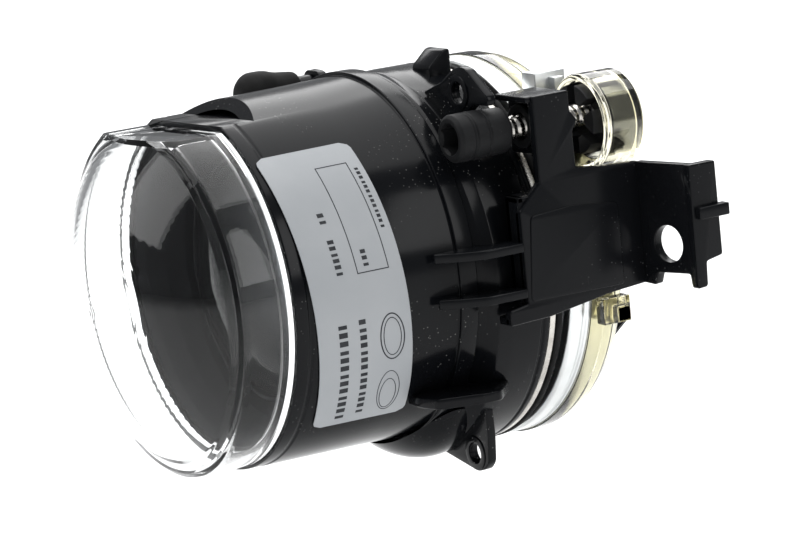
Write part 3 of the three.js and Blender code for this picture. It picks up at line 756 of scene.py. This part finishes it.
# ---- bulb ----
def on_bulb(bm):
    return moved(bm, Matrix.Translation((0, 0, BULB_Z)))


def make_bulb():
    glass = [(72, 0), (72.3, 1.6), (73.5, 3.8), (76, 5.2), (95.6, 5.2), (95.6, 0)]
    envelope = on_bulb(turned(glass, 0.5, SMALL))
    piece("bulb_envelope", [envelope], "bulb", MODULE_GLASS, ["bulb_glass"])
    collar = [(96, 0), (96, 10.4), (98.4, 10.4), (98.4, 0)]
    piece("bulb_base", [on_bulb(turned(collar, 0.3, SMALL))], "bulb", STEEL, ["bulb_collar"])
    seal = [(93.6, 16.2), (93.6, 18.6), (95.8, 18.6), (95.8, 16.2)]
    piece("bulb_o_ring", [on_bulb(turned(seal, 0.9, SMALL))], "bulb", RUBBER, ["bulb_seal"])
    rings = [
        turned([(BULB_SEAT + 0.3, 0), (BULB_SEAT + 0.3, 21), (101.6, 21), (101.6, 0)], 0.6, CUP_FACETS),
        turned([(98.8, 0), (98.8, 13), (107, 13), (107, 0)], 0.7, CUP_FACETS),
        turned([(96.4, 11), (96.4, 18), (BULB_SEAT + 0.5, 18), (BULB_SEAT + 0.5, 11)], 0.2, CUP_FACETS),
    ]
    wings = block(-24, 24, 98.6, 101.4, -4, 4, 0.8)
    grips = [turned_about_y(block(-1, 1, 101, 105.6, 12, 18.5, 0.5), turn) for turn in range(0, 360, 45)]
    tube = boolean(block(-6.6, 6.6, 99.5, 108.4, -32, -8, 0.6), [block(-5.2, 5.2, 100.9, 107, -34, -18, 0.3)])
    latch = block(-2.2, 2.2, 108, 109.3, -30, -25, 0.4)
    socket = [turned_about_y(bm, PLUG_TURN) for bm in (tube, latch)]
    shapes = [on_bulb(bm) for bm in (*rings, wings, *grips, *socket)]
    piece("bulb_cap", shapes, "bulb", MATTE, ["bulb_holder"])
    for name, node, side in (("blade_left", "terminal_left", -2.6), ("blade_right", "terminal_right", 2.6)):
        blade = turned_about_y(block(side - 1.1, side + 1.1, 103.4, 104.4, -27, -18.3, 0.2), PLUG_TURN)
        piece(name, [on_bulb(blade)], "bulb", BRASS, [node])


# ---- vent and pivots ----
def make_vent():
    pipe = [(42, 1.6), (42, 3.1), (EAR_Y - 0.3, 3.1), (EAR_Y - 0.3, 1.6)]
    tube = turned(pipe, 0.3, SMALL, VENT_X, VENT_Z)
    piece("vent_tube", [tube], "root", GLOSS, ["vent_pipe"])
    cap = [
        (33.2, 0), (33.2, 3.6), (36, 6.2), (41, 6.2), (44, 5.2),
        (50, 4.6), (50, 3.4), (41.8, 3.4), (41.8, 0),
    ]
    boot = turned(cap, 1.6, SMALL, VENT_X, VENT_Z)
    piece("vent_boot", [boot], "root", RUBBER, ["vent_cap"])
    for side, node in ((-1, "pivot_pin_left"), (1, "pivot_pin_right")):
        ends = [(46, 0), (46, 2.2), (53.1, 2.2), (53.1, 0)]
        pin = turned(ends, 0.4, SMALL)
        turn = Matrix.Rotation(math.radians(-90 * side), 4, "Z")
        moved(pin, Matrix.Translation((0, TILT_Y, -DROP)) @ turn)
        piece(node.replace("pin", "stud"), [pin], "root", STEEL, [node])


# ---- camera, floor and lights ----
CAMERA_AZIMUTH, CAMERA_ELEVATION, CAMERA_ROLL = 59.76, 10.76, 5.77
CAMERA_DISTANCE, CAMERA_LENS = 800, 144.05  # both mm


def make_camera():
    azimuth, elevation, roll = (
        math.radians(a) for a in (CAMERA_AZIMUTH, CAMERA_ELEVATION, CAMERA_ROLL)
    )
    outward = math.cos(elevation)
    back = Vector((math.sin(azimuth) * outward, -math.cos(azimuth) * outward, math.sin(elevation)))
    level = Vector((math.cos(azimuth), math.sin(azimuth), 0))
    lift = back.cross(level)
    right = level * math.cos(roll) - lift * math.sin(roll)
    up = level * math.sin(roll) + lift * math.cos(roll)
    spot = back * CAMERA_DISTANCE + right * 22.26 + up * 0.24 + Vector((0, 30, 0)) - ORIGIN
    camera = bpy.data.cameras.new("camera")
    camera.lens = CAMERA_LENS
    camera.sensor_width = 36
    camera.clip_start = 0.05
    camera.clip_end = 50
    holder = bpy.data.objects.new("camera", camera)
    holder.matrix_world = Matrix.Translation(spot * MM) @ Matrix((right, up, back)).transposed().to_4x4()
    bpy.context.scene.collection.objects.link(holder)
    bpy.context.scene.camera = holder


def soft_light(name, size, energy, position, target=(-0.05, -0.04, 0)):
    lamp = bpy.data.lights.new(name, "AREA")
    lamp.shape = "RECTANGLE"
    lamp.size, lamp.size_y = size
    lamp.energy = energy
    holder = bpy.data.objects.new(name, lamp)
    holder.location = position
    holder.rotation_euler = (Vector(target) - Vector(position)).to_track_quat("-Z", "Y").to_euler()
    bpy.context.scene.collection.objects.link(holder)


FLOOR_DROP = 0.045  # metres; the lamp is held by its arm, clear of the floor


def make_studio():
    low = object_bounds()[0][2]
    bm = bmesh.new()
    bmesh.ops.create_grid(bm, x_segments=8, y_segments=8, size=6)
    mesh = bpy.data.meshes.new("floor")
    bm.to_mesh(mesh)
    bm.free()
    floor = bpy.data.objects.new("floor", mesh)
    floor.location = (0, 0, low - FLOOR_DROP)
    bpy.context.scene.collection.objects.link(floor)
    look = Look("floor_paint", 0.9)
    look.shader.inputs["Specular IOR Level"].default_value = 0.1
    look.colours(look.noise(3, 2), (0.93, 0.93, 0.93), (0.95, 0.95, 0.95))
    mesh.materials.append(look.material)
    world = bpy.data.worlds.new("studio")
    world.use_nodes = True
    world.node_tree.nodes["Background"].inputs["Color"].default_value = (0.95, 0.97, 1.0, 1)
    world.node_tree.nodes["Background"].inputs["Strength"].default_value = 0.3
    bpy.context.scene.world = world
    soft_light("overhead", (1.8, 1.8), 26, (-0.1, 0.1, 1.4))
    soft_light("far_floor", (2.6, 2.6), 75, (-2.3, 1.3, 1.6), (-2.3, 1.3, -0.1))
    soft_light("key", (0.7, 0.9), 6, (-0.5, -0.9, 0.75))
    soft_light("side", (0.35, 0.7), 2.5, (0.95, 0.35, 0.5))
    bpy.context.scene.view_settings.view_transform = "Standard"


make_camera()
make_studio()
make_lens()
make_housing()
make_front_pieces()
make_label()
make_arm()
make_adjuster()
make_carrier()
make_nut()
make_module()
make_bulb()
make_vent()
